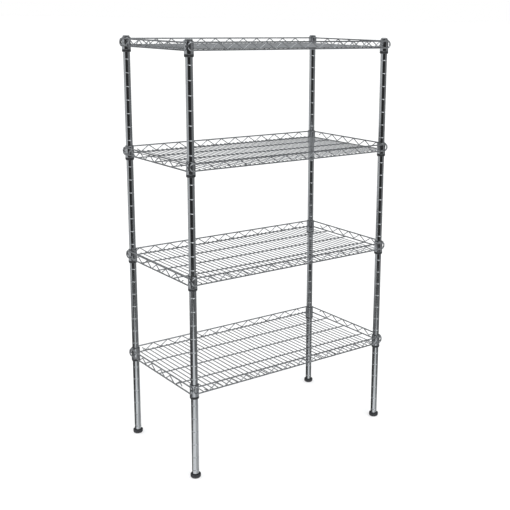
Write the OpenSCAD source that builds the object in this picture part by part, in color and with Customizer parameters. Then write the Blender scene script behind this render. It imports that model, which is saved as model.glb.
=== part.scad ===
// Four-tier chrome wire shelving rack, free standing.
// Four grooved tube posts carry four wire shelves. A split plastic sleeve clips into a groove
// of each post, its bead in the groove, and the shelf's steel corner collar wedges down on it.
// The feet screw in and out to level the rack.
// Frame: the origin is on the floor at the middle of the rack, +X along the long side,
// +Y to the back, +Z up. All sizes are in millimetres.

/* [Rack] */
// Distance between post centre lines along the long side
post_gap_x = 865; // [400:5:1500]
// Distance between post centre lines along the short side
post_gap_y = 450; // [250:5:750]
// Grooves on a post below the one that holds the lowest shelf
grooves_below_shelves = 6; // [2:1:12]
// Groove pitches from one shelf to the next
grooves_between_shelves = 8; // [4:1:12]

/* [Posts] */
// Outer diameter of a post
post_d = 25.4; // [20:0.1:40]
// Wall of the post tube
post_wall = 1.2; // [1:0.1:2.5]
// Height from one groove to the next
groove_pitch = 50; // [25:1:70]
// Height of the lowest groove over the floor
first_groove_h = 32; // [28:1:60]
// Post left above the sleeves of the top shelf
post_above_sleeve = 2; // [0:1:60]
// Width of a groove at the post's surface
groove_w = 2.6; // [1.5:0.1:4]
// Depth of a groove
groove_depth = 0.6; // [0.3:0.1:0.8]
// Thickness of the crown of a post cap over the post's end
cap_crown_h = 4; // [2:0.5:10]
// Radius of the rounded edge of a post cap
cap_edge_r = 3; // [1:0.5:4]
// Depth of a post cap's plug in the tube
cap_plug_h = 12; // [6:1:30]
// Wall of a post cap's plug
cap_plug_wall = 1.6; // [1:0.1:3]

/* [Feet] */
// Wall of a foot pad round the post
pad_wall = 5; // [3:0.5:8]
// Height of a foot pad
pad_h = 16; // [15:0.5:26]
// Floor of a foot pad under the post
pad_floor = 6; // [5.5:0.5:8]
// Rubber of a foot pad's floor over the stud's head
head_cover = 1; // [0.5:0.5:2]
// Radius of the turned-up lower edge of a foot pad
pad_edge_r = 8; // [3:0.5:10]
// Room round the post in a foot pad
pad_room = 1.3; // [0.5:0.1:2]
// Diameter of the levelling stud
stud_d = 9.8; // [6:0.1:12]
// Length of the levelling stud over its head
stud_length = 34; // [24:1:50]
// Diameter of the stud's head, held in the foot pad
stud_head_d = 18; // [14:0.5:20]
// Thickness of the stud's head
stud_head_h = 3; // [2:0.5:3]
// Flange of the threaded insert under the post's end
insert_flange_h = 2; // [1:0.5:4]
// Depth of the threaded insert in the post
insert_h = 24; // [12:1:50]

/* [Collars and sleeves] */
// Collar that stands above the middle of the upper rod
collar_above_rod = 4.5; // [2:0.5:20]
// Collar that hangs below the middle of the lower rod
collar_below_rod = 13; // [8:1:30]
// Thinnest wall of a corner collar, at its lower end
collar_wall = 1.8; // [1.2:0.1:3]
// Wall of the sleeve at its shoulder, where it is thickest
sleeve_wall = 1.85; // [1.5:0.05:5]
// How much smaller the sleeve's radius is at its top than at its shoulder
taper = 0.7; // [0.3:0.1:1]
// Height of the sleeve's bottom ring, seen below the collar
sleeve_ring_h = 9; // [5:0.5:20]
// Height of the bevel under the sleeve's bottom ring, half as wide as it is high
sleeve_bevel = 2.2; // [0:0.1:4]
// Sleeve that shows above the collar
sleeve_above_collar = 2; // [1:0.5:10]
// Seam between the two halves of a sleeve
sleeve_seam = 0.4; // [0.2:0.1:1]
// Height of the bead's middle, in the groove, over the lower rod's middle
bead_above_rod = 2; // [0:0.5:8]

/* [Shelf wires] */
// Diameter of the rods round the shelf
rod_d = 5.2; // [4:0.1:8]
// Height between the middles of the upper and lower rods
rail_h = 25.5; // [20:0.5:50]
// How far the middle of a rod's end bend reaches past the post's centre line
rod_reach = 12.75; // [8:0.25:15]
// Diameter of the zigzag wire
zigzag_d = 3.6; // [2:0.1:5]
// How much less high the zigzag wire is than the rails, between the middles of its bends
zigzag_inset = 3; // [1:0.5:6]
// How far the pressed pad on a zigzag bend stands proud of the wire and of the bend's corner
zigzag_pad = 0.05; // [0.02:0.01:0.3]
// Distance between neighbouring bends along the long sides
zigzag_step_long = 32.75; // [28:0.25:50]
// Distance between neighbouring bends along the short sides
zigzag_step_short = 35.25; // [28:0.25:50]
// Diameter of the deck's cross wires
cross_d = 3.4; // [2:0.1:5]
// Pitch of the deck's cross wires
cross_pitch = 20.4; // [12:0.1:40]
// Diameter of the ribs under the cross wires
rib_d = 4.6; // [3:0.1:5]
// Number of ribs under each deck
rib_count = 3; // [1:1:6]

/* [Fits] */
// Depth to which a weld sinks one wire into another
weld = 0.05; // [0.02:0.01:0.1]
// Gap between the pressed pads of the zigzag wire and its rods
zigzag_gap = 0.03; // [0.02:0.01:0.1]
// Radial clearance of the sleeve on the post and of the collar on the sleeve
sleeve_fit = 0.05; // [0.02:0.01:0.1]
// Gap under a collar and over a foot pad's floor
rest_gap = 0.3; // [0.2:0.1:1]
// Radial clearance of the stud in the insert
thread_fit = 0.1; // [0.05:0.01:0.1]
// Radial clearance of plugs and inserts in the post
plug_fit = 0.05; // [0.02:0.01:0.1]
// Clearance round the stud's head and neck in the foot pad
head_room = 0.2; // [0.1:0.1:0.5]

/* [Hidden] */
$fn = 64;
shelf_count = 4;
// Where each zigzag wire has a bend, from the middle of its side: front, back, left, right.
// The wires are cut from long stock, so this differs from side to side.
zigzag_shift = [
    [-28, -16, -20, 20],
    [19, 2, -7, -11],
    [12, -12, 24, -29],
    [-5, 30, 8, 12],
];
post_r = post_d / 2;
rod_r = rod_d / 2;
zigzag_r = zigzag_d / 2;
cross_r = cross_d / 2;
rib_r = rib_d / 2;
sleeve_bore_r = post_r + sleeve_fit;
shoulder_r = sleeve_bore_r + sleeve_wall;
collar_r = shoulder_r + sleeve_fit + collar_wall;
// Rods run past the outer side of the collars and are welded to them
rod_offset = collar_r + rod_r - weld;
rod_x = post_gap_x / 2 + rod_offset;
rod_y = post_gap_y / 2 + rod_offset;
// The zigzag wire lies on the outer side of the rods, its bends level with them
zigzag_h = rail_h - zigzag_inset;
zigzag_out = rod_r + zigzag_gap + zigzag_pad + zigzag_r;
// Heights
post_bottom = pad_floor + rest_gap + insert_flange_h;
top_groove = grooves_below_shelves + (shelf_count - 1) * grooves_between_shelves;
sleeve_bottom = -collar_below_rod - rest_gap - sleeve_ring_h;
sleeve_shoulder = -collar_below_rod - rest_gap;
collar_top = rail_h + collar_above_rod;
sleeve_top = collar_top + sleeve_above_collar;
post_top = shelf_h(shelf_count) + sleeve_top + post_above_sleeve;
groove_count = 1 + floor((post_top - groove_w - first_groove_h) / groove_pitch);
// The sleeve's taper and the collar's bore are the same surface, but for the fit
taper_slope = taper / (sleeve_top - sleeve_shoulder);

// Height of a groove over the floor, counted from 0 at the lowest
function groove_h(index) = first_groove_h + index * groove_pitch;
// Height of the middle of a shelf's lower rods, for shelf 1 to 4
function shelf_h(shelf) =
    groove_h(grooves_below_shelves + (shelf - 1) * grooves_between_shelves) - bead_above_rod;
// Radius of the pressed pad that fills the corner of a zigzag bend
function pad_of_bend_r(step) = zigzag_r / cos(atan2(zigzag_h, step)) + zigzag_pad;
// Radius of the sleeve's taper at a height over the lower rod's middle
function taper_r(h) = shoulder_r - taper_slope * (h - sleeve_shoulder);

// Places its child on a post's centre line: side_x is -1 or 1, and so is side_y
module at_post(side_x, side_y) {
    translate([side_x * post_gap_x / 2, side_y * post_gap_y / 2, 0])
        children();
}

// Places its child on all four posts at the height of a shelf, turned to face outwards
module at_corners(shelf) {
    for (side_x = [-1, 1])
        for (side_y = [-1, 1])
            translate([side_x * post_gap_x / 2, side_y * post_gap_y / 2, shelf_h(shelf)])
                rotate([0, 0, side_x > 0 ? 0 : 180])
                    children();
}

// Chromed steel tube with rolled grooves
module post(side_x, side_y) {
    grooves = [
        for (index = [0 : groove_count - 1])
            let (h = groove_h(index))
                each [
                    [post_r, h - groove_w / 2],
                    [post_r - groove_depth, h - groove_w / 4],
                    [post_r - groove_depth, h + groove_w / 4],
                    [post_r, h + groove_w / 2],
                ]
    ];
    outline = concat(
        [[post_r - post_wall, post_bottom], [post_r, post_bottom]],
        grooves,
        [[post_r, post_top], [post_r - post_wall, post_top]]
    );
    color("silver")
        at_post(side_x, side_y)
            rotate_extrude()
                polygon(outline);
}

// Domed plastic cap pushed into the top of a post
module post_cap(side_x, side_y) {
    plug_r = post_r - post_wall - plug_fit;
    color("gray")
        at_post(side_x, side_y)
            translate([0, 0, post_top])
                rotate_extrude() {
                    square([post_r, cap_crown_h - cap_edge_r]);
                    square([post_r - cap_edge_r, cap_crown_h]);
                    translate([post_r - cap_edge_r, cap_crown_h - cap_edge_r])
                        intersection() {
                            circle(cap_edge_r);
                            square(cap_edge_r);
                        }
                    translate([plug_r - cap_plug_wall, -cap_plug_h])
                        square([cap_plug_wall, cap_plug_h]);
                }
}

// Steel insert with a threaded bore, pressed into the bottom of a post
module insert(side_x, side_y) {
    bore_r = stud_d / 2 + thread_fit;
    color("darkgray")
        at_post(side_x, side_y)
            translate([0, 0, post_bottom])
                rotate_extrude() {
                    translate([bore_r, -insert_flange_h])
                        square([post_r - bore_r, insert_flange_h]);
                    translate([bore_r, 0])
                        square([post_r - post_wall - plug_fit - bore_r, insert_h]);
                }
}

// Moulded rubber foot, a cup round the end of the post with the stud's head inside its floor
module foot_pad(side_x, side_y) {
    cup_r = post_r + pad_room;
    pad_r = cup_r + pad_wall;
    rim_r = pad_wall / 2;
    head_space_top = pad_floor - head_cover;
    color("dimgray")
        at_post(side_x, side_y)
            difference() {
                rotate_extrude() {
                    difference() {
                        union() {
                            square([pad_r - pad_edge_r, pad_h - rim_r]);
                            translate([0, pad_edge_r])
                                square([pad_r, pad_h - rim_r - pad_edge_r]);
                            translate([pad_r - pad_edge_r, pad_edge_r])
                                intersection() {
                                    circle(pad_edge_r);
                                    translate([0, -pad_edge_r])
                                        square(pad_edge_r);
                                }
                        }
                        translate([-pad_r, pad_floor])
                            square([pad_r + cup_r, pad_h]);
                    }
                    translate([cup_r + rim_r, pad_h - rim_r])
                        intersection() {
                            circle(rim_r);
                            translate([-rim_r, 0])
                                square([2 * rim_r, rim_r]);
                        }
                }
                translate([0, 0, head_space_top - stud_head_h - head_room])
                    cylinder(h = stud_head_h + head_room, r = stud_head_d / 2 + head_room);
                translate([0, 0, head_space_top - head_room])
                    cylinder(h = pad_floor, r = stud_d / 2 + head_room);
            }
}

// Levelling stud: the shank turns in the insert, the head in the foot pad
module foot_stud(side_x, side_y) {
    head_top = pad_floor - head_cover - head_room / 2;
    color("darkgray")
        at_post(side_x, side_y)
            translate([0, 0, head_top]) {
                translate([0, 0, -stud_head_h])
                    cylinder(h = stud_head_h, r = stud_head_d / 2);
                cylinder(h = stud_length, r = stud_d / 2);
            }
}

// Half of each split plastic sleeve of a shelf: side is 1 for the outer halves, -1 for the inner
module sleeve_halves(shelf, side) {
    bead_r = sleeve_bore_r - groove_depth;
    bead_h = bead_above_rod;
    seam_angle = asin(sleeve_seam / 2 / sleeve_bore_r);
    outline = [
        [sleeve_bore_r, sleeve_bottom],
        [collar_r - sleeve_bevel / 2, sleeve_bottom],
        [collar_r, sleeve_bottom + sleeve_bevel],
        [collar_r, sleeve_shoulder],
        [taper_r(sleeve_shoulder), sleeve_shoulder],
        [taper_r(sleeve_top), sleeve_top],
        [sleeve_bore_r, sleeve_top],
        [sleeve_bore_r, bead_h + groove_w / 2 - sleeve_fit],
        [bead_r, bead_h + groove_w / 4 - sleeve_fit],
        [bead_r, bead_h - groove_w / 4 + sleeve_fit],
        [sleeve_bore_r, bead_h - groove_w / 2 + sleeve_fit],
    ];
    color("#202224")
        at_corners(shelf)
            rotate([0, 0, side > 0 ? -90 : 90])
                rotate([0, 0, seam_angle])
                    rotate_extrude(angle = 180 - 2 * seam_angle)
                        polygon(outline);
}

// Tapered steel collars at the four corners of a shelf
module collars(shelf) {
    color("silver")
        at_corners(shelf)
            rotate_extrude()
                polygon([
                    [taper_r(-collar_below_rod) + sleeve_fit, -collar_below_rod],
                    [collar_r, -collar_below_rod],
                    [collar_r, collar_top],
                    [taper_r(collar_top) + sleeve_fit, collar_top],
                ]);
}

// Closed loop of rod: two straight runs joined by a half-round bend at each end, that passes
// the posts a span apart. It stands in the XZ plane, its lower run at z = 0.
module rod_loop(span) {
    bend_r = rail_h / 2;
    length = span + 2 * (rod_reach - bend_r);
    for (h = [0, rail_h])
        translate([-length / 2, 0, h])
            rotate([0, 90, 0])
                cylinder(h = length, r = rod_r);
    for (side = [-1, 1])
        translate([side * length / 2, 0, bend_r])
            rotate([90, 0, 0])
                rotate([0, 0, side > 0 ? -90 : 90])
                    rotate_extrude(angle = 180)
                        translate([bend_r, 0])
                            circle(rod_r);
}

// Zigzag wire in the XZ plane, z = 0 at mid height. Its bends are a step apart, one of the
// upper ones at x = shift, and it is cut off half a step before the first bend and after the last.
module zigzag(length, step, shift) {
    first = ceil((-length / 2 + step / 2 - shift) / step);
    last = floor((length / 2 - step / 2 - shift) / step);
    slope = atan2(zigzag_h, step);
    run = sqrt(step * step + zigzag_h * zigzag_h);
    for (bend = [first : last]) {
        up = bend % 2 == 0 ? 1 : -1;
        translate([shift + bend * step, 0, up * zigzag_h / 2]) {
            rotate([90, 0, 0])
                cylinder(h = 2 * (zigzag_r + zigzag_pad), r = pad_of_bend_r(step), center = true);
            rotate([0, 90 + up * slope, 0])
                cylinder(h = bend == last ? run / 2 : run, r = zigzag_r);
            if (bend == first)
                rotate([0, -90 - up * slope, 0])
                    cylinder(h = run / 2, r = zigzag_r);
        }
    }
}

// One side of a shelf in the XZ plane, facing -Y: the rod loop and the zigzag wire on its face
module rail(length, step, shift) {
    color("silver") {
        rod_loop(length);
        translate([0, -zigzag_out, rail_h / 2])
            zigzag(length - 2 * collar_r, step, shift);
    }
}

module front_rail(shelf) {
    translate([0, -rod_y, shelf_h(shelf)])
        rail(post_gap_x, zigzag_step_long, zigzag_shift[shelf - 1][0]);
}

module back_rail(shelf) {
    translate([0, rod_y, shelf_h(shelf)])
        rotate([0, 0, 180])
            rail(post_gap_x, zigzag_step_long, -zigzag_shift[shelf - 1][1]);
}

module left_rail(shelf) {
    translate([-rod_x, 0, shelf_h(shelf)])
        rotate([0, 0, -90])
            rail(post_gap_y, zigzag_step_short, -zigzag_shift[shelf - 1][2]);
}

module right_rail(shelf) {
    translate([rod_x, 0, shelf_h(shelf)])
        rotate([0, 0, 90])
            rail(post_gap_y, zigzag_step_short, zigzag_shift[shelf - 1][3]);
}

// Heavy wires along the shelf that carry the deck, level with the top of the lower rods
module ribs(shelf) {
    spacing = 2 * rod_y / (rib_count + 1);
    length = 2 * (rod_x - rod_r + 2 * weld);
    color("silver")
        for (index = [1 : rib_count])
            translate([-length / 2, -rod_y + index * spacing, shelf_h(shelf) + rod_r - rib_r])
                rotate([0, 90, 0])
                    cylinder(h = length, r = rib_r);
}

// Thin wires from front to back, welded on top of the ribs and the lower rods
module cross_wires(shelf) {
    end_gap = rod_offset + collar_r + 2 * cross_r;
    room = 2 * (rod_x - end_gap);
    gaps = floor(room / cross_pitch);
    length = 2 * (rod_y + rod_r - cross_r / 2);
    color("silver")
        for (index = [0 : gaps])
            translate([
                (index - gaps / 2) * cross_pitch,
                length / 2,
                shelf_h(shelf) + rod_r + cross_r - weld
            ])
                rotate([90, 0, 0])
                    cylinder(h = length, r = cross_r);
}

post(-1, -1);  // post_front_left
post(1, -1);  // post_front_right
post(-1, 1);  // post_back_left
post(1, 1);  // post_back_right
post_cap(-1, -1);  // post_cap_front_left
post_cap(1, -1);  // post_cap_front_right
post_cap(-1, 1);  // post_cap_back_left
post_cap(1, 1);  // post_cap_back_right
insert(-1, -1);  // insert_front_left
insert(1, -1);  // insert_front_right
insert(-1, 1);  // insert_back_left
insert(1, 1);  // insert_back_right
foot_pad(-1, -1);  // foot_pad_front_left
foot_pad(1, -1);  // foot_pad_front_right
foot_pad(-1, 1);  // foot_pad_back_left
foot_pad(1, 1);  // foot_pad_back_right
foot_stud(-1, -1);  // foot_stud_front_left
foot_stud(1, -1);  // foot_stud_front_right
foot_stud(-1, 1);  // foot_stud_back_left
foot_stud(1, 1);  // foot_stud_back_right
sleeve_halves(1, -1);  // shelf_1_inner_sleeve_halves
sleeve_halves(1, 1);  // shelf_1_outer_sleeve_halves
sleeve_halves(2, -1);  // shelf_2_inner_sleeve_halves
sleeve_halves(2, 1);  // shelf_2_outer_sleeve_halves
sleeve_halves(3, -1);  // shelf_3_inner_sleeve_halves
sleeve_halves(3, 1);  // shelf_3_outer_sleeve_halves
sleeve_halves(4, -1);  // shelf_4_inner_sleeve_halves
sleeve_halves(4, 1);  // shelf_4_outer_sleeve_halves
collars(1);  // shelf_1_collars
front_rail(1);  // shelf_1_front_rail
back_rail(1);  // shelf_1_back_rail
left_rail(1);  // shelf_1_left_rail
right_rail(1);  // shelf_1_right_rail
ribs(1);  // shelf_1_ribs
cross_wires(1);  // shelf_1_cross_wires
collars(2);  // shelf_2_collars
front_rail(2);  // shelf_2_front_rail
back_rail(2);  // shelf_2_back_rail
left_rail(2);  // shelf_2_left_rail
right_rail(2);  // shelf_2_right_rail
ribs(2);  // shelf_2_ribs
cross_wires(2);  // shelf_2_cross_wires
collars(3);  // shelf_3_collars
front_rail(3);  // shelf_3_front_rail
back_rail(3);  // shelf_3_back_rail
left_rail(3);  // shelf_3_left_rail
right_rail(3);  // shelf_3_right_rail
ribs(3);  // shelf_3_ribs
cross_wires(3);  // shelf_3_cross_wires
collars(4);  // shelf_4_collars
front_rail(4);  // shelf_4_front_rail
back_rail(4);  // shelf_4_back_rail
left_rail(4);  // shelf_4_left_rail
right_rail(4);  // shelf_4_right_rail
ribs(4);  // shelf_4_ribs
cross_wires(4);  // shelf_4_cross_wires
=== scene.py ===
import math

import bmesh
import bpy
from mathutils import Matrix, Vector


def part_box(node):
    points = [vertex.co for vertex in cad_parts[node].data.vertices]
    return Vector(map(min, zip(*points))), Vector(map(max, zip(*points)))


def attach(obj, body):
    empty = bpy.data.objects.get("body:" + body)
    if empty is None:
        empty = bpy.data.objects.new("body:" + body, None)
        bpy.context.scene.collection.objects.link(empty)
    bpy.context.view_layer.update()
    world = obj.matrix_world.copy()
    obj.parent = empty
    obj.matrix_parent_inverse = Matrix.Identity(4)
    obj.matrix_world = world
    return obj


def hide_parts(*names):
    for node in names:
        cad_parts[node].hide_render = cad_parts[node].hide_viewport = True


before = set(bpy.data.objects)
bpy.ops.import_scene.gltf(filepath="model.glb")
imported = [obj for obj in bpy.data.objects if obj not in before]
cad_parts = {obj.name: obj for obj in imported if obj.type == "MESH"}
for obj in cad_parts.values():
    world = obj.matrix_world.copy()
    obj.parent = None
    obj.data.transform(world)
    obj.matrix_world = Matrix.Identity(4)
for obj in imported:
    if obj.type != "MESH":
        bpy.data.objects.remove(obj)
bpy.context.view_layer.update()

# Studio. Plain white paper under soft light from above. Chrome shows mostly the room: a light
# wall on the left, a dim one on the right, black behind the camera, a strip of lit floor that
# runs up to the rack, and a grey ceiling with a lamp high up behind the camera's right side.
camera_place = Vector((-1.943, -2.820, 1.6407))
camera_yaw, camera_pitch, camera_roll = (math.radians(a) for a in (38.56, 12.20, 0.84))
focal_length, film_width = 63.03, 36.0
shift_right, shift_up = -0.1267, -0.0871
paper_reach = 400.0
paper_grey, paper_mottle, paper_glow = 0.42, 0.01, 0.55
sun_strength, sun_spread, sun_heading = 2.45, math.radians(120), (0.25, 0.30, -1.0)
backdrop_white, daylight = (1.0, 1.0, 1.0), (0.95, 0.98, 1.0)
left_wall_light, right_wall_light, corner_light = 0.56, 0.21, 0.035
left_wall_turn, right_wall_turn = 0.80, 1.30
high_wall_shade, far_wall_shade = 0.75, 0.30
strip_light, strip_spread, strip_start, strip_aside = 0.92, 6.5, 1.95, 0.15
strip_far_turn, strip_right_shade = 0.8, 0.55
floor_right_light, floor_least_light = 0.10, 0.07
ceiling_left_light, ceiling_least_light, lamp_light = 0.54, 0.34, 2.4
floor_fade, ceiling_fade = (0.28, 0.34), (0.25, 0.50)

scene = bpy.context.scene
scene.view_settings.view_transform = "Standard"

ahead = Vector((
    math.sin(camera_yaw) * math.cos(camera_pitch),
    math.cos(camera_yaw) * math.cos(camera_pitch),
    -math.sin(camera_pitch),
))
level_right = Vector((math.cos(camera_yaw), -math.sin(camera_yaw), 0))
level_up = level_right.cross(ahead)
turned_right = level_right * math.cos(camera_roll) + level_up * math.sin(camera_roll)
turned_up = level_up * math.cos(camera_roll) - level_right * math.sin(camera_roll)
facing = Matrix((turned_right, turned_up, -ahead)).transposed().to_4x4()
camera_data = bpy.data.cameras.new("camera")
camera_data.sensor_width = film_width
camera_data.lens = focal_length
camera_data.shift_x = shift_right
camera_data.shift_y = shift_up
camera = bpy.data.objects.new("camera", camera_data)
camera.matrix_world = Matrix.Translation(camera_place) @ facing
scene.collection.objects.link(camera)
scene.camera = camera


class Mark:
    """A shader value. Sums on values add their Math nodes."""

    def __init__(self, shader, socket):
        self.shader, self.socket = shader, socket

    def sum_with(self, operation, first, second):
        return self.shader.node(
            "ShaderNodeMath", {"operation": operation}, {0: first, 1: second})

    def __add__(self, other):
        return self.sum_with("ADD", self, other)

    __radd__ = __add__

    def __sub__(self, other):
        return self.sum_with("SUBTRACT", self, other)

    def __rsub__(self, other):
        return self.sum_with("SUBTRACT", other, self)

    def __mul__(self, other):
        return self.sum_with("MULTIPLY", self, other)

    __rmul__ = __mul__

    def clipped(self, low, high):
        return self.shader.node(
            "ShaderNodeMapRange", {"clamp": True},
            {"Value": self, "From Min": low, "From Max": high})


class Shader:
    """The nodes of one finish, or of the room."""

    def __init__(self, owner):
        owner.use_nodes = True
        self.tree = owner.node_tree

    def node(self, kind, settings=None, sockets=None, output=0):
        made = self.tree.nodes.new(kind)
        for name, value in (settings or {}).items():
            setattr(made, name, value)
        self.join(made, sockets or {})
        return Mark(self, made.outputs[output])

    def join(self, made, sockets):
        for name, value in sockets.items():
            if isinstance(value, Mark):
                self.tree.links.new(value.socket, made.inputs[name])
            else:
                made.inputs[name].default_value = value

    def place(self):
        return self.node("ShaderNodeTexCoord", output="Object")

    def noise(self, scale, detail=3.0, stretch=(1, 1, 1)):
        where = self.node(
            "ShaderNodeMapping", {}, {"Vector": self.place(), "Scale": stretch})
        return self.node(
            "ShaderNodeTexNoise", {}, {"Vector": where, "Scale": scale, "Detail": detail})

    def blend(self, mask, first, second):
        return self.node(
            "ShaderNodeMix", {"data_type": "RGBA"},
            {"Factor": mask, 6: (*first, 1), 7: (*second, 1)}, output=2)


room = bpy.data.worlds.new("room")
scene.world = room
walls = Shader(room)
room_direction = walls.node("ShaderNodeTexCoord", output="Generated")
behind_camera = (-math.sin(camera_yaw), -math.cos(camera_yaw), 0)
left_of_camera = (-math.cos(camera_yaw), math.sin(camera_yaw), 0)


def towards(direction):
    return walls.node(
        "ShaderNodeVectorMath", {"operation": "DOT_PRODUCT"},
        {0: room_direction, 1: direction}, output="Value")


leftness, backness, upness = (
    towards(v) for v in (left_of_camera, behind_camera, (0, 0, 1)))
rightness, farness, downness = -1 * leftness, -1 * backness, -1 * upness
low_down = 1 - upness.clipped(0.02, 0.12) * high_wall_shade
left_wall = (leftness - left_wall_turn * backness).clipped(-0.04, 0.04) * low_down
right_wall = (rightness - right_wall_turn * backness).clipped(-0.05, 0.05)
far_wall = farness.clipped(0.55, 0.95)
side_light = (
    left_wall * left_wall_light + right_wall * right_wall_light
    - far_wall * far_wall_shade + corner_light)
off_centre = walls.node(
    "ShaderNodeMath", {"operation": "ABSOLUTE"}, {0: leftness + strip_aside})
near_side = (backness - strip_far_turn * leftness).clipped(-0.85, -0.55)
strip = (strip_spread * downness - strip_start - off_centre).clipped(-0.15, 0.15) * near_side
strip_fall = 1 - rightness.clipped(0.25, 0.60) * strip_right_shade
floor_light = (
    strip * strip_fall * strip_light + rightness.clipped(0.0, 0.8) * floor_right_light
    + floor_least_light)
lamp = backness.clipped(0.20, 0.35) * rightness.clipped(0.10, 0.25)
ceiling_light = (
    leftness.clipped(-0.2, 0.9) * ceiling_left_light + lamp * lamp_light
    + ceiling_least_light)
low, high = downness.clipped(*floor_fade), upness.clipped(*ceiling_fade)
room_light = side_light * (1 - low) * (1 - high) + floor_light * low + ceiling_light * high
seen = walls.node("ShaderNodeLightPath", output="Is Camera Ray")
walls.join(walls.tree.nodes["Background"], {
    "Color": walls.blend(seen, daylight, backdrop_white),
    "Strength": seen + (1 - seen) * room_light,
})

white_paper = bpy.data.materials.new("white_paper")
paper = Shader(white_paper)
paper_tone = paper.noise(3.0, 2.0) * paper_mottle + paper_grey
paper.join(paper.tree.nodes["Principled BSDF"], {
    "Base Color": paper.node(
        "ShaderNodeCombineColor", {}, {0: paper_tone, 1: paper_tone, 2: paper_tone}),
    "Roughness": 0.9,
    "Specular IOR Level": 0.1,
    "Emission Color": (1, 1, 1, 1),
    "Emission Strength": paper_glow,
})
bm = bmesh.new()
bmesh.ops.create_circle(bm, cap_ends=True, radius=paper_reach, segments=96)
paper_mesh = bpy.data.meshes.new("studio_floor")
bm.to_mesh(paper_mesh)
bm.free()
paper_mesh.materials.append(white_paper)
studio_floor = bpy.data.objects.new("studio_floor", paper_mesh)
studio_floor.visible_glossy = False
scene.collection.objects.link(studio_floor)

soft_light = bpy.data.lights.new("soft_light", "SUN")
soft_light.energy = sun_strength
soft_light.angle = sun_spread
overhead = bpy.data.objects.new("soft_light", soft_light)
overhead.matrix_world = Vector(sun_heading).to_track_quat("-Z", "Y").to_matrix().to_4x4()
overhead.visible_glossy = False
scene.collection.objects.link(overhead)

# Posts. Four drawn steel tubes, an inch across, with grooves rolled in every 50 mm, then
# polished and chromed. Each stands alone; only the shelves hold them together.
post_wall = 0.0012
groove_first, groove_pitch = 0.032, 0.050
groove_width, groove_depth = 0.0026, 0.0006
groove_stations = (-1.3, -1, -0.75, -0.5, -0.25, 0, 0.25, 0.5, 0.75, 1, 1.3)
post_bevel, post_sides = 0.0003, 48
crease_angle = 0.6
corners = ["front_left", "front_right", "back_left", "back_right"]


def upright(node):
    """The axis, radius, bottom and top of a round piece that stands upright."""
    low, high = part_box(node)
    axis = Vector(((low[0] + high[0]) / 2, (low[1] + high[1]) / 2, 0))
    return axis, (high[0] - low[0]) / 2, low[2], high[2]


def spun(bm, outline, centre, angle=2 * math.pi, start=0.0, sides=post_sides):
    """Turns a closed outline of (radius, height) points round an upright axis."""
    turn = Matrix.Rotation(start, 3, "Z")
    points = [bm.verts.new(centre + turn @ Vector((r, 0, z))) for r, z in outline]
    edges = [bm.edges.new((a, b)) for a, b in zip(points, points[1:] + points[:1])]
    full = math.isclose(angle, 2 * math.pi)
    if not full:
        edges.append(bm.faces.new(points))
    bmesh.ops.spin(
        bm, geom=points + edges, cent=centre, axis=(0, 0, 1), angle=angle,
        steps=sides, use_merge=full)


def placed(name, bm, finishes, body, nodes):
    """Makes the mesh a piece that rides on a body and stands for its CAD nodes."""
    bmesh.ops.remove_doubles(bm, verts=bm.verts, dist=1e-6)
    bmesh.ops.recalc_face_normals(bm, faces=bm.faces)
    mesh = bpy.data.meshes.new(name)
    bm.to_mesh(mesh)
    bm.free()
    mesh.shade_smooth()
    mesh.set_sharp_from_angle(angle=crease_angle)
    for finish in finishes:
        mesh.materials.append(finish)
    piece = bpy.data.objects.new(name, mesh)
    scene.collection.objects.link(piece)
    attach(piece, body)
    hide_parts(*nodes)


def chrome(name, colour, dull_colour, polish, haze, grain):
    """Chrome plate: hazy patches, fine polishing lines and a faint ripple."""
    material = bpy.data.materials.new(name)
    plate = Shader(material)
    patches = plate.noise(9.0, 4.0).clipped(0.42, 0.68)
    smears = plate.noise(55.0, 3.0, (1, 1, 0.25)).clipped(0.45, 0.75)
    lines = plate.noise(900.0, 2.0, grain)
    ripple = plate.noise(60.0, 1.0)
    dulled = patches * 0.6 + smears * 0.4
    height = lines * 0.4 + ripple * 0.6
    plate.join(plate.tree.nodes["Principled BSDF"], {
        "Base Color": plate.blend(dulled, colour, dull_colour),
        "Metallic": 1.0,
        "Roughness": dulled * haze + lines * 0.03 + polish,
        "Normal": plate.node("ShaderNodeBump", {}, {
            "Strength": 0.12, "Distance": 0.0004, "Height": height}),
    })
    return material


post_chrome = chrome(
    "post_chrome", (0.60, 0.61, 0.62), (0.50, 0.505, 0.515), 0.05, 0.09, (0.3, 0.3, 1.0))
for corner in corners:
    centre, radius, bottom, top = upright("post_" + corner)
    outline = [
        (radius - post_wall, bottom), (radius - post_bevel, bottom),
        (radius, bottom + post_bevel),
    ]
    groove_count = 1 + int((top - groove_width - groove_first) / groove_pitch)
    for groove in range(groove_count):
        height = groove_first + groove * groove_pitch
        for across in groove_stations:
            dip = groove_depth * 0.5 * (1 + math.cos(math.pi * min(1, abs(across))))
            outline.append((radius - dip, height + across * groove_width / 2))
    outline += [
        (radius, top - post_bevel), (radius - post_bevel, top), (radius - post_wall, top)]
    bm = bmesh.new()
    spun(bm, outline, centre)
    placed("tube_" + corner, bm, [post_chrome], "root", ["post_" + corner])

# Post caps. Small domed plugs moulded in grey plastic and pushed into the open tops of the
# tubes, flush with the outside of the tube.
cap_edge, cap_crown = 0.003, 0.0006
plug_wall, plug_fit, plug_bevel = 0.0016, 0.00005, 0.0004


def arc(middle, radius, start, end, steps):
    """Points of an arc for an outline, with its angles measured upwards from outwards."""
    angles = [start + (end - start) * step / steps for step in range(steps + 1)]
    return [
        (middle[0] + radius * math.cos(angle), middle[1] + radius * math.sin(angle))
        for angle in angles]


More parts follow.
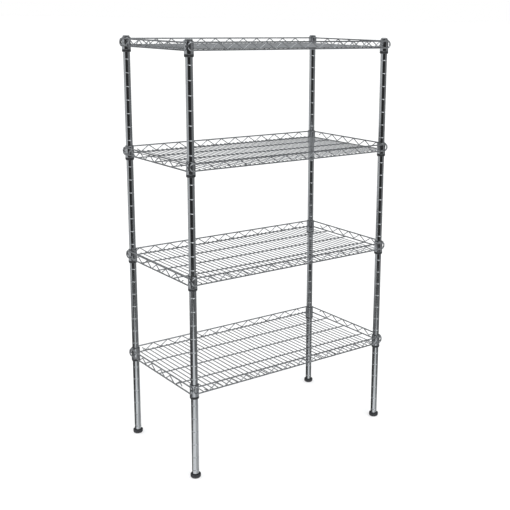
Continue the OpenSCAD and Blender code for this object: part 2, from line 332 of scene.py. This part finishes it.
def moulding(name, colour, worn_colour, rough, grain_size, relief, dusty=0.0):
    """Moulded plastic or rubber: a fine grain, paler rubbed patches and dust low down."""
    material = bpy.data.materials.new(name)
    skin = Shader(material)
    grain = skin.noise(grain_size, 2.0)
    rubbed = skin.noise(70.0, 4.0).clipped(0.50, 0.78)
    height = skin.node("ShaderNodeSeparateXYZ", {}, {0: skin.place()}, output="Z")
    dust = (1 - height.clipped(0.001, 0.012)) * dusty
    wear = rubbed * 0.7 + dust
    skin.join(skin.tree.nodes["Principled BSDF"], {
        "Base Color": skin.blend(wear, colour, worn_colour),
        "Roughness": grain * 0.12 + rubbed * 0.10 + rough,
        "Normal": skin.node("ShaderNodeBump", {}, {
            "Strength": relief, "Distance": 0.0002, "Height": grain}),
    })
    return material


cap_plastic = moulding(
    "cap_plastic", (0.20, 0.205, 0.21), (0.30, 0.305, 0.31), 0.38, 2600.0, 0.25)
for corner in corners:
    centre, radius, bottom, top = upright("post_cap_" + corner)
    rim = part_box("post_" + corner)[1][2]
    plug = radius - post_wall - plug_fit
    outline = [
        (0.0, rim), (plug - plug_wall, rim), (plug - plug_wall, bottom),
        (plug - plug_bevel, bottom), (plug, bottom + plug_bevel), (plug, rim), (radius, rim),
    ]
    outline += arc(
        (radius - cap_edge, top - cap_crown - cap_edge), cap_edge, 0, math.pi / 2, 8)
    outline += [(radius / 2, top - cap_crown / 4), (0.0, top)]
    bm = bmesh.new()
    spun(bm, outline, centre)
    placed("cap_" + corner, bm, [cap_plastic], "root", ["post_cap_" + corner])

# Feet. A charcoal rubber cup hides the end of each post and turns on the head of a steel
# stud. The stud screws up into a threaded insert that is pressed into the tube.
pad_floor, pad_wall, pad_edge = 0.006, 0.005, 0.008
foot_rubber = moulding(
    "foot_rubber", (0.022, 0.023, 0.026), (0.060, 0.061, 0.064), 0.52, 1800.0, 0.35, 0.5)


def zinc(name):
    """Zinc plate on turned steel: rings left by the tool, and a faintly yellow bloom."""
    material = bpy.data.materials.new(name)
    plate = Shader(material)
    bloom = plate.noise(140.0, 3.0).clipped(0.4, 0.7)
    rings = plate.noise(1500.0, 1.0, (0.05, 0.05, 1.0))
    plate.join(plate.tree.nodes["Principled BSDF"], {
        "Base Color": plate.blend(bloom, (0.56, 0.57, 0.58), (0.55, 0.52, 0.44)),
        "Metallic": 1.0,
        "Roughness": rings * 0.15 + bloom * 0.10 + 0.25,
        "Normal": plate.node("ShaderNodeBump", {}, {
            "Strength": 0.3, "Distance": 0.0002, "Height": rings}),
    })
    return material


zinc_steel = zinc("zinc_steel")
for corner in corners:
    centre, radius, bottom, top = upright("foot_pad_" + corner)
    cup, lip = radius - pad_wall, pad_wall / 2
    outline = [(0.0, bottom + pad_floor), (0.0, bottom)]
    outline += arc((radius - pad_edge, bottom + pad_edge), pad_edge, -math.pi / 2, 0, 8)
    outline += arc((cup + lip, top - lip), lip, 0, math.pi, 12)
    outline.append((cup, bottom + pad_floor))
    bm = bmesh.new()
    spun(bm, outline, centre)
    placed(
        "rubber_foot_" + corner, bm, [foot_rubber], "pad_" + corner,
        ["foot_pad_" + corner])
    for node in ("foot_stud_" + corner, "insert_" + corner):
        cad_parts[node].material_slots[0].material = zinc_steel

# Sleeves. Each corner of a shelf rests on a tapered sleeve of black nylon, split in two
# halves whose inner bead snaps into a groove of the post. Only the bottom ring shows below
# the collar, and a thin edge above it.
sleeve_seam, sleeve_taper, sleeve_wall = 0.0004, 0.0007, 0.00185
ring_bevel, shoulder_bevel, sleeve_bevel = 0.0022, 0.0004, 0.0003
bead_rise, bead_depth, bead_half, bead_flat = 0.002, 0.0006, 0.0012, 0.0005
sleeve_nylon = moulding(
    "sleeve_nylon", (0.016, 0.017, 0.019), (0.050, 0.051, 0.054), 0.36, 2200.0, 0.20)
shelves = [1, 2, 3, 4]
collar_below, collar_radius = 0.013, 0.01645
corner_axis, post_radius, *_ = upright("post_front_left")
half_gap_x, half_gap_y = abs(corner_axis.x), abs(corner_axis.y)
post_axes = [
    Vector((side_x * half_gap_x, side_y * half_gap_y, 0))
    for side_x in (-1, 1) for side_y in (-1, 1)]
rest_gap, sleeve_fit = 0.0003, 0.00005
bore = post_radius + sleeve_fit
seam_angle = math.asin(sleeve_seam / 2 / bore)
rod_level = {
    shelf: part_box(f"shelf_{shelf}_collars")[0][2] + collar_below for shelf in shelves}
for shelf in shelves:
    for half, facing_out in (("inner", -1), ("outer", 1)):
        node = f"shelf_{shelf}_{half}_sleeve_halves"
        bottom, top = (corner_point[2] for corner_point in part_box(node))
        shoulder = rod_level[shelf] - collar_below - rest_gap
        bead = rod_level[shelf] + bead_rise
        tip = bore + sleeve_wall - sleeve_taper
        outline = [
            (bore, bottom + sleeve_bevel), (bore + sleeve_bevel, bottom),
            (collar_radius - ring_bevel / 2, bottom),
            (collar_radius - sleeve_bevel, bottom + ring_bevel * 0.7),
            (collar_radius, bottom + ring_bevel),
            (collar_radius, bottom + ring_bevel + shoulder_bevel),
            (collar_radius, shoulder - shoulder_bevel - sleeve_bevel),
            (collar_radius, shoulder - shoulder_bevel),
            (collar_radius - shoulder_bevel, shoulder),
            (bore + sleeve_wall, shoulder),
            (tip, top - sleeve_bevel), (tip - sleeve_bevel, top), (bore, top),
            (bore, bead + bead_half), (bore - bead_depth, bead + bead_flat),
            (bore - bead_depth, bead - bead_flat), (bore, bead - bead_half),
        ]
        bm = bmesh.new()
        for axis in post_axes:
            outward = 0 if axis.x > 0 else math.pi
            away = outward if facing_out > 0 else outward + math.pi
            spun(
                bm, outline, axis, math.pi - 2 * seam_angle,
                away - math.pi / 2 + seam_angle, post_sides // 2)
        placed(
            f"nylon_{half}_{shelf}", bm, [sleeve_nylon], "root", [node])

# Corner collars. Short tapered steel cups, one at each corner of a shelf, that wedge down
# on the sleeves. The rods of the rails are welded to their outside with short beads.
collar_fit, collar_bevel, collar_round = 0.00005, 0.0004, 0.0006
bead_long, bead_thick, bead_high = 0.0042, 0.0012, 0.0026
bead_shift, bead_stand = 0.002, 0.0006
rod_radius, rod_rise, rod_offset = 0.0026, 0.0255, 0.0190
collar_chrome = chrome(
    "collar_chrome", (0.58, 0.585, 0.60), (0.44, 0.445, 0.455), 0.10, 0.12, (1.0, 1.0, 0.3))
weld_chrome = chrome(
    "weld_chrome", (0.50, 0.50, 0.51), (0.36, 0.36, 0.365), 0.20, 0.15, (1.0, 1.0, 1.0))


def nugget(bm, centre, sizes, rings=1):
    """A blob of weld: a ball of a few faces, squashed to its half sizes."""
    bmesh.ops.create_icosphere(
        bm, subdivisions=rings, radius=1.0,
        matrix=Matrix.Translation(centre) @ Matrix.Diagonal((*sizes, 1)))


def welds_from(bm, first_face):
    """Gives the faces that came after a count the weld's finish."""
    bm.faces.ensure_lookup_table()
    for face in bm.faces[first_face:]:
        face.material_index = 1


for shelf in shelves:
    node = f"shelf_{shelf}_collars"
    bottom, top = (corner_point[2] for corner_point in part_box(node))
    wide = bore + sleeve_wall + collar_fit
    narrow = wide - sleeve_taper
    outline = [
        (wide, bottom + collar_bevel), (wide + collar_bevel, bottom),
        (collar_radius - collar_round, bottom),
        (collar_radius - collar_round * 0.3, bottom + collar_round * 0.3),
        (collar_radius, bottom + collar_round),
        (collar_radius, bottom + 1.5 * collar_round),
        (collar_radius, top - 1.5 * collar_round),
        (collar_radius, top - collar_round),
        (collar_radius - collar_round * 0.3, top - collar_round * 0.3),
        (collar_radius - collar_round, top),
        (narrow + collar_bevel, top), (narrow, top - collar_bevel),
    ]
    bm = bmesh.new()
    for axis in post_axes:
        spun(bm, outline, axis)
    plain_faces = len(bm.faces)
    for axis in post_axes:
        side_x, side_y = math.copysign(1, axis.x), math.copysign(1, axis.y)
        out = collar_radius + bead_stand
        for level in (rod_level[shelf], rod_level[shelf] + rod_rise):
            nugget(
                bm, (axis.x - side_x * bead_shift, axis.y + side_y * out, level),
                (bead_long, bead_thick, bead_high), 2)
            nugget(
                bm, (axis.x + side_x * out, axis.y - side_y * bead_shift, level),
                (bead_thick, bead_long, bead_high), 2)
    welds_from(bm, plain_faces)
    placed(
        f"collar_set_{shelf}", bm, [collar_chrome, weld_chrome], f"shelf_{shelf}",
        [node])

# Rails. Each side of a shelf is a closed loop of rod, with a zigzag of thinner wire welded
# on its outer face. The zigzags are cut from long stock, so their bends fall differently on
# every side.
zigzag_radius, zigzag_rise, zigzag_bend = 0.0018, 0.0225, 0.0045
zigzag_press = 0.98
bend_weld, bend_weld_inset = (0.0026, 0.0016, 0.0015), 0.0016
zigzag_step = {"long": 0.03275, "short": 0.03525}
zigzag_places = {
    1: (-0.028, -0.016, -0.020, 0.020),
    2: (0.019, 0.002, -0.007, -0.011),
    3: (0.012, -0.012, 0.024, -0.029),
    4: (-0.005, 0.030, 0.008, 0.012),
}
wire_chrome = chrome(
    "wire_chrome", (0.44, 0.445, 0.455), (0.33, 0.335, 0.34), 0.12, 0.13, (1.0, 1.0, 1.0))


def straight(bm, face, heading, length):
    """Draws the end of a wire on by a length."""
    drawn = bmesh.ops.extrude_face_region(bm, geom=[face])["geom"]
    end = [part for part in drawn if isinstance(part, bmesh.types.BMFace)][0]
    bmesh.ops.translate(bm, verts=end.verts[:], vec=heading * length)
    return end


def bend(bm, face, heading, bend_radius, angle, steps):
    """Bends the end of a wire in the XZ plane; a positive angle turns it upwards."""
    up = Vector((-heading.z, 0, heading.x))
    middle = face.calc_center_median() + up * bend_radius * math.copysign(1, angle)
    spinning = bmesh.ops.spin(
        bm, geom=[face], cent=middle, axis=(0, -1, 0), angle=angle, steps=steps)
    end = [part for part in spinning["geom_last"] if isinstance(part, bmesh.types.BMFace)][0]
    return end, Matrix.Rotation(angle, 3, (0, -1, 0)) @ heading


def wire_end(bm, start, heading, radius, sides):
    """The flat end that a wire is drawn from."""
    turn = heading.to_track_quat("Z", "Y").to_matrix().to_4x4()
    ring = bmesh.ops.create_circle(
        bm, cap_ends=True, radius=radius, segments=sides,
        matrix=Matrix.Translation(start) @ turn)
    return ring["verts"][0].link_faces[0]


def rod_loop(bm, length):
    """A rod bent into a flat loop: two runs with a half round at each end."""
    along = Vector((1, 0, 0))
    first = wire_end(bm, Vector((-length / 2, 0, 0)), along, rod_radius, 16)
    end = straight(bm, first, along, length)
    for run in (1, 2):
        end, along = bend(bm, end, along, rod_rise / 2, math.pi, 16)
        if run == 1:
            end = straight(bm, end, along, length)
    bmesh.ops.delete(bm, geom=[first, end], context="FACES_ONLY")
    bmesh.ops.remove_doubles(bm, verts=bm.verts, dist=1e-6)


def zigzag(bm, length, step, shift):
    """A wire bent up and down by turns; returns the places of its bends."""
    slope = math.atan2(zigzag_rise, step)
    run = math.hypot(step, zigzag_rise)
    cut_back = zigzag_bend * math.tan(slope)
    first = math.ceil((-length / 2 + step / 2 - shift) / step)
    last = math.floor((length / 2 - step / 2 - shift) / step)
    rise = 1 if first % 2 == 0 else -1
    heading = Vector((math.cos(slope), 0, rise * math.sin(slope)))
    out = (rod_radius + zigzag_radius) * zigzag_press
    start = Vector((shift + (first - 0.5) * step, -out, rod_rise / 2))
    end = wire_end(bm, start, heading, zigzag_radius, 12)
    bends = []
    for index in range(first, last + 1):
        halves = 2 if bends else 1
        end = straight(bm, end, heading, halves * (run / 2 - cut_back))
        end, heading = bend(bm, end, heading, zigzag_bend, -2 * slope * rise, 6)
        bends.append((shift + index * step, rise))
        rise = -rise
    straight(bm, end, heading, run / 2 - cut_back)
    return bends


def rail(shelf, side, length, step, shift, turn, offset):
    """One side of a shelf, made facing -Y and turned into place."""
    bm = bmesh.new()
    rod_loop(bm, length)
    bends = zigzag(bm, length - 2 * collar_radius, step, shift)
    plain_faces = len(bm.faces)
    for along, rise in bends:
        level = rod_rise / 2 + rise * (rod_rise / 2 - bend_weld_inset)
        nugget(bm, (along, -rod_radius * 0.85, level), bend_weld)
    welds_from(bm, plain_faces)
    place = Matrix.Translation((*offset, rod_level[shelf])) @ Matrix.Rotation(turn, 4, "Z")
    bmesh.ops.transform(bm, matrix=place, verts=bm.verts)
    placed(
        f"rail_{side}_{shelf}", bm, [wire_chrome, weld_chrome], f"shelf_{shelf}",
        [f"shelf_{shelf}_{side}_rail"])


out_x, out_y = half_gap_x + rod_offset, half_gap_y + rod_offset
long_side, short_side = 2 * half_gap_x, 2 * half_gap_y
for shelf in shelves:
    front, back, left, right = zigzag_places[shelf]
    rail(shelf, "front", long_side, zigzag_step["long"], front, 0, (0, -out_y))
    rail(shelf, "back", long_side, zigzag_step["long"], -back, math.pi, (0, out_y))
    rail(shelf, "left", short_side, zigzag_step["short"], -left, -math.pi / 2, (-out_x, 0))
    rail(shelf, "right", short_side, zigzag_step["short"], right, math.pi / 2, (out_x, 0))

# Deck. Three heavy ribs run the length of a shelf, and 41 thin wires lie across them and
# the lower rods. Every crossing is resistance welded, which leaves a small flattened blob.
rib_count, cross_pitch = 3, 0.0204
rib_weld, rib_weld_inset = (0.0018, 0.0031, 0.0022), 0.0005
cross_weld = (0.0020, 0.0021, 0.0009)
along_x, along_y = Vector((1, 0, 0)), Vector((0, 1, 0))
for shelf in shelves:
    rib_low, rib_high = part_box(f"shelf_{shelf}_ribs")
    wire_low, wire_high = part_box(f"shelf_{shelf}_cross_wires")
    rib_radius, cross_radius = (rib_high[2] - rib_low[2]) / 2, (wire_high[2] - wire_low[2]) / 2
    rib_level, cross_level = rib_high[2] - rib_radius, wire_high[2] - cross_radius
    rib_spread = rib_high[1] - rib_low[1] - 2 * rib_radius
    rib_rows = [
        rib_low[1] + rib_radius + rib_spread * row / (rib_count - 1)
        for row in range(rib_count)]

    bm = bmesh.new()
    for row in rib_rows:
        end = wire_end(bm, Vector((rib_low[0], row, rib_level)), along_x, rib_radius, 14)
        straight(bm, end, along_x, rib_high[0] - rib_low[0])
    plain_faces = len(bm.faces)
    for row in rib_rows:
        for end_x in (rib_low[0] + rib_weld_inset, rib_high[0] - rib_weld_inset):
            nugget(bm, (end_x, row, rib_level), rib_weld, 2)
    welds_from(bm, plain_faces)
    placed(
        f"rib_set_{shelf}", bm, [wire_chrome, weld_chrome], f"shelf_{shelf}",
        [f"shelf_{shelf}_ribs"])

    wire_count = round((wire_high[0] - wire_low[0] - 2 * cross_radius) / cross_pitch) + 1
    columns = [wire_low[0] + cross_radius + cross_pitch * column for column in range(wire_count)]
    bm = bmesh.new()
    for column in columns:
        end = wire_end(bm, Vector((column, wire_low[1], cross_level)), along_y, cross_radius, 10)
        straight(bm, end, along_y, wire_high[1] - wire_low[1])
    plain_faces = len(bm.faces)
    for column in columns:
        for row in rib_rows + [-out_y, out_y]:
            nugget(bm, (column, row, cross_level - cross_radius), cross_weld)
    welds_from(bm, plain_faces)
    placed(
        f"deck_{shelf}", bm, [wire_chrome, weld_chrome], f"shelf_{shelf}",
        [f"shelf_{shelf}_cross_wires"])
